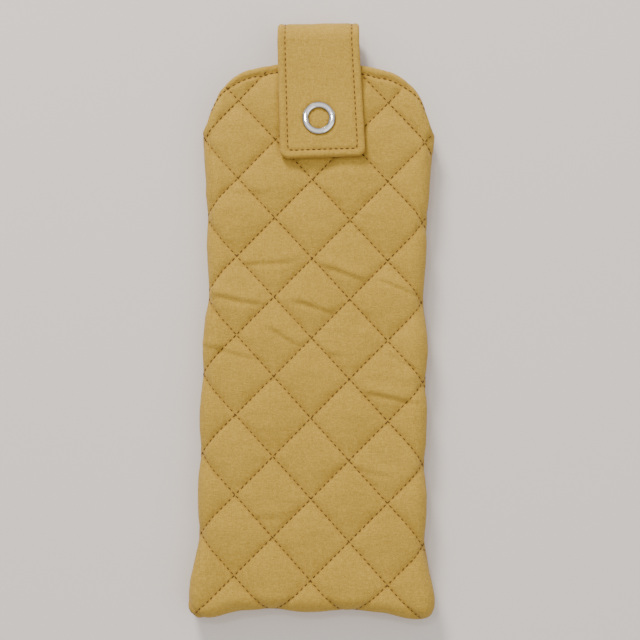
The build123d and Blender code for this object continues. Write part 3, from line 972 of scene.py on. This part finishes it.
def cotton(name, light, dark, shade_and_wear_colour, pitch=0.38):
    """Plain-woven cotton with slubs, uneven dye, and a deeper tone beside its stitching that is painted
    shade, mixed with wear along its edges.
    """
    n = Nodes(name)
    flat = n.put("ShaderNodeAttribute", attribute_name="cloth").outputs["Vector"]
    shade_and_wear = n.put("ShaderNodeAttribute", attribute_name="shade_and_wear").outputs["Fac"]
    weave = plain_weave(n, flat, pitch)
    slub_across = n.noise(n.stretch(flat, 0.34, 3.0), 1.0, 3.0)
    slub_along = n.noise(n.stretch(flat, 2.9, 0.30), 1.0, 3.0)
    cloudy = n.noise(n.stretch(flat, 0.045, 0.05), 1.0, 4.0, 0.6)
    fine = n.noise(n.stretch(flat, 2.4, 2.4), 1.0, 4.0, 0.7)
    patches = n.noise(n.stretch(flat, 0.95, 1.15), 1.0, 2.0)
    slubs = ((slub_across, 1.1), (slub_along, 0.8))
    tone = n.total(*slubs, (fine, 3.4), (cloudy, 0.8), (weave, 2.0), (patches, 1.4))
    tone = n.math("SUBTRACT", tone, 4.59)
    specks = n.math("SUBTRACT", n.noise(n.stretch(flat, 0.75, 1.3), 1.0, 2.0, 0.4), 0.66)
    tone = n.math("SUBTRACT", tone, n.math("MULTIPLY", n.math("MAXIMUM", specks, 0.0), 9.0))
    colour = n.mix(tone, dark, light)
    # Painted shade and wear: the cloth is mixed towards a deeper brown where its per-point tint is high.
    beside = n.math("MULTIPLY", shade_and_wear, n.math("ADD", n.math("MULTIPLY", fine, 0.5), 0.55))
    colour = n.mix(beside, colour, shade_and_wear_colour)
    n.wire(colour, n.shader.inputs["Base Color"])
    raised = n.math("MULTIPLY", n.math("ADD", slub_across, slub_along), 0.9)
    height = n.math("ADD", n.math("ADD", weave, raised), n.math("MULTIPLY", fine, 0.8))
    n.bump(height, WEAVE_DEPTH)
    n.settle(Roughness=0.88, Sheen_Weight=0.12, Sheen_Roughness=0.5, Specular_IOR_Level=0.25)
    n.shader.inputs["Sheen Tint"].default_value = (1.0, 0.93, 0.78, 1.0)
    return n.material


def sewing_thread(name, light, dark):
    """Sewing thread, finely mottled, with a slow drift in tone."""
    n = Nodes(name)
    where = n.put("ShaderNodeTexCoord").outputs["Object"]
    mottle = n.noise(where, 2600.0, 3.0)
    drift = n.noise(where, 60.0, 2.0)
    colour = n.mix(n.total((mottle, 0.7), (drift, 0.3)), dark, light)
    n.wire(colour, n.shader.inputs["Base Color"])
    n.bump(mottle, 0.00005)
    n.settle(Roughness=0.62, Specular_IOR_Level=0.35)
    return n.material


def plated_metal(name, colour, rough, painted_shade_z=None):
    """Bright plated metal with faint handling marks, with painted shade and dark reflections in its lower
    edges if a height is given.
    """
    n = Nodes(name)
    where = n.put("ShaderNodeTexCoord").outputs["Object"]
    marks = n.noise(n.stretch(where, 900.0, 2600.0, 900.0), 1.0, 5.0, 0.6)
    haze = n.noise(where, 420.0, 3.0)
    plate = n.mix(haze, tuple(0.86 * c for c in colour[:3]) + (1.0,), colour)
    if painted_shade_z:
        # Painted shade: below the given height the plate turns dark brownish grey, for the shade and dark
        # reflections round the ring's base.
        split = n.put("ShaderNodeSeparateXYZ")
        n.wire(where, split.inputs[0])
        up = n.math("MULTIPLY", n.math("SUBTRACT", split.outputs[2], painted_shade_z * MM), 2600.0)
        unshaded = n.math("MINIMUM", n.math("MAXIMUM", up, 0.0), 1.0)
        plate = n.mix(unshaded, (0.16, 0.13, 0.10, 1.0), plate)
    n.wire(plate, n.shader.inputs["Base Color"])
    n.wire(n.math("ADD", n.math("MULTIPLY", haze, 0.12), rough), n.shader.inputs["Roughness"])
    n.bump(marks, 0.000004)
    n.settle(Metallic=1.0)
    return n.material


def pale_floor(name):
    """A matt floor, very slightly cloudy."""
    n = Nodes(name)
    where = n.put("ShaderNodeTexCoord").outputs["Object"]
    cloud = n.noise(where, 3.0, 3.0)
    colour = n.mix(cloud, (0.81, 0.748, 0.705, 1.0), (0.85, 0.792, 0.75, 1.0))
    n.wire(colour, n.shader.inputs["Base Color"])
    n.settle(Roughness=0.75, Specular_IOR_Level=0.2)
    return n.material


# The third colour of each cotton is its deeper brown of painted shade and wear.
MUSTARD = cotton("mustard_cotton", (0.66, 0.422, 0.071, 1), (0.41, 0.245, 0.026, 1), (0.37, 0.175, 0.02, 1))
LINING = cotton("lining_cotton", (0.56, 0.39, 0.15, 1), (0.46, 0.31, 0.11, 1), (0.40, 0.25, 0.08, 1), 0.36)
BROWN = sewing_thread("brown_thread", (0.13, 0.060, 0.012, 1), (0.06, 0.026, 0.005, 1))
SILVER = plated_metal("bright_plate", (0.88, 0.88, 0.86, 1.0), 0.05)
# The ring's lower edges carry painted shade.
CAP = plated_metal("bright_ring_plate", (0.95, 0.935, 0.89, 1.0), 0.03, TAB_TOP + 0.28)
STEEL = plated_metal("spring_steel", (0.60, 0.60, 0.60, 1.0), 0.26)

# ---------------------------------------------------------------- the case

STEP = 0.5
BACK_STEP = 0.7
LINING_STEP = 1.4
FRONT, BACK = Shell(1), Shell(-1)


def bend_with_mouth(piece):
    """Bakes a piece's placement into its mesh."""
    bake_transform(piece)


def make_front():
    """The front, in two halves, left and right of the middle."""
    quilting, topstitch = quilting_stitches(FRONT), mouth_stitches(FRONT)
    for right in (False, True):
        name = "right" if right else "left"
        low, high = (0.0, 1.0) if right else (-1.0, 0.0)
        panel = padded_panel(f"front_panel_{name}", FRONT, STEP, low, high, MUSTARD)
        lining = lining_sheet(f"front_lining_{name}", FRONT, LINING_STEP, low, high, LINING)
        quilt = thread_piece(f"front_quilting_{name}", half_of(quilting, right), BROWN)
        top = thread_piece(f"front_topstitch_{name}", half_of(topstitch, right), BROWN)
        for piece in (panel, lining, quilt, top):
            bend_with_mouth(piece)
        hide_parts("front_outer_panel", "front_wadding")
        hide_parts("front_lining")
        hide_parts("front_quilting_thread", "front_quilting_bobbin_thread")
        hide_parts("front_mouth_topstitch")


def make_back():
    """The back, and the side seam that stays with it."""
    panel = padded_panel("back_panel", BACK, BACK_STEP, -1.0, 1.0, MUSTARD)
    lining = lining_sheet("back_lining_cloth", BACK, LINING_STEP, -1.0, 1.0, LINING)
    quilt = thread_piece("back_quilting", quilting_stitches(BACK), BROWN, lift=0.08)
    top = thread_piece("back_topstitch", mouth_stitches(BACK), BROWN, lift=0.08)
    seam = thread_piece("side_seam_stitches", seam_stitches(), BROWN)
    for piece in (panel, lining, quilt, top, seam):
        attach(piece, "back_body")
    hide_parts("back_outer_panel", "back_wadding")
    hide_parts("back_lining")
    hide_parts("back_quilting_thread", "back_quilting_bobbin_thread")
    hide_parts("back_mouth_topstitch")
    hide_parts("side_seam_thread", "lining_seam_thread")


def make_tab():
    """The tab and its topstitching, looped from the back over onto the front."""
    cloth = tab_piece(MUSTARD)
    over = thread_piece("tab_topstitch_outside", tab_stitches(1), BROWN, lift=0.12)
    under = thread_piece("tab_topstitch_inside", tab_stitches(-1), BROWN, lift=0.10)
    for piece in (cloth, over, under):
        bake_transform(piece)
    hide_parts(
        "tab_base_outer", "tab_base_core", "tab_base_under",
        "tab_flap_outer", "tab_flap_core", "tab_flap_under",
    )
    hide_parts("tab_base_topstitch", "tab_flap_topstitch")


def finish_metal():
    """The press stud's pieces, kept from the CAD."""
    looks = {"snap_cap_ring": CAP, "snap_socket_spring": STEEL}
    for node in ("snap_cap_ring", "snap_socket", "snap_stud", "snap_stud_ring", "snap_socket_spring"):
        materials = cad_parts[node].data.materials
        materials.clear()
        materials.append(looks.get(node, SILVER))


def make_floor():
    """A pale floor just under the case."""
    bpy.ops.mesh.primitive_plane_add(size=4.0, location=(0, 0, -0.00002))
    floor = bpy.context.object
    floor.name = "floor"
    floor.data.materials.append(pale_floor("pale_floor"))


def make_lamps():
    """Soft light from beyond the mouth, a weak fill, and a small glint for the metal."""
    lamps = (
        ("key", (-0.36, 1.0, 0.68), 0.36, 15.4, (1.0, 0.97, 0.93)),
        ("fill", (0.7, -0.35, 0.9), 1.1, 2.6, (1.0, 0.98, 0.96)),
        ("glint", (-0.22, 0.30, 1.05), 0.10, 1.3, (1.0, 1.0, 1.0)),
    )
    for name, place, size, power, colour in lamps:
        lamp = bpy.data.lights.new(name, "AREA")
        lamp.shape = "DISK"
        lamp.size = size
        lamp.energy = power
        lamp.color = colour
        holder = add_object(name, lamp)
        holder.location = place
        holder.rotation_euler = (-Vector(place)).to_track_quat("-Z", "Y").to_euler()


def make_world():
    """A soft room, brightest overhead."""
    world = bpy.data.worlds.new("soft_room")
    world.use_nodes = True
    tree = world.node_tree
    where = tree.nodes.new("ShaderNodeTexCoord")
    split = tree.nodes.new("ShaderNodeSeparateXYZ")
    ramp = tree.nodes.new("ShaderNodeValToRGB")
    low, middle = ramp.color_ramp.elements
    low.position = 0.02
    low.color = (0.46, 0.45, 0.44, 1.0)
    middle.position = 0.55
    middle.color = (0.86, 0.84, 0.825, 1.0)
    ramp.color_ramp.elements.new(0.94).color = (2.3, 2.25, 2.2, 1.0)
    tree.links.new(where.outputs["Generated"], split.inputs[0])
    tree.links.new(split.outputs["Z"], ramp.inputs["Fac"])
    tree.links.new(ramp.outputs["Color"], tree.nodes["Background"].inputs["Color"])
    tree.nodes["Background"].inputs["Strength"].default_value = 0.46
    bpy.context.scene.world = world


def make_camera():
    """A camera over the case, leaning and turned a little."""
    target = Vector((1.45, -0.55, 8.0)) * MM
    away = 0.480
    lean = radians(4.5)
    roll = radians(0.85)
    place = target + away * Vector((0, -sin(lean), cos(lean)))
    ahead = (target - place).normalized()
    right = Vector((1, 0, 0))
    up = right.cross(ahead)
    side = right * cos(roll) + up * sin(roll)
    top = up * cos(roll) - right * sin(roll)
    lens = bpy.data.cameras.new("camera")
    lens.sensor_width = 36.0
    lens.lens = 77.65
    camera = add_object("camera", lens)
    camera.matrix_world = Matrix((
        (side.x, top.x, -ahead.x, place.x),
        (side.y, top.y, -ahead.y, place.y),
        (side.z, top.z, -ahead.z, place.z),
        (0, 0, 0, 1),
    ))
    bpy.context.scene.camera = camera


make_floor()
make_lamps()
make_world()
make_camera()
make_front()
make_back()
make_tab()
finish_metal()
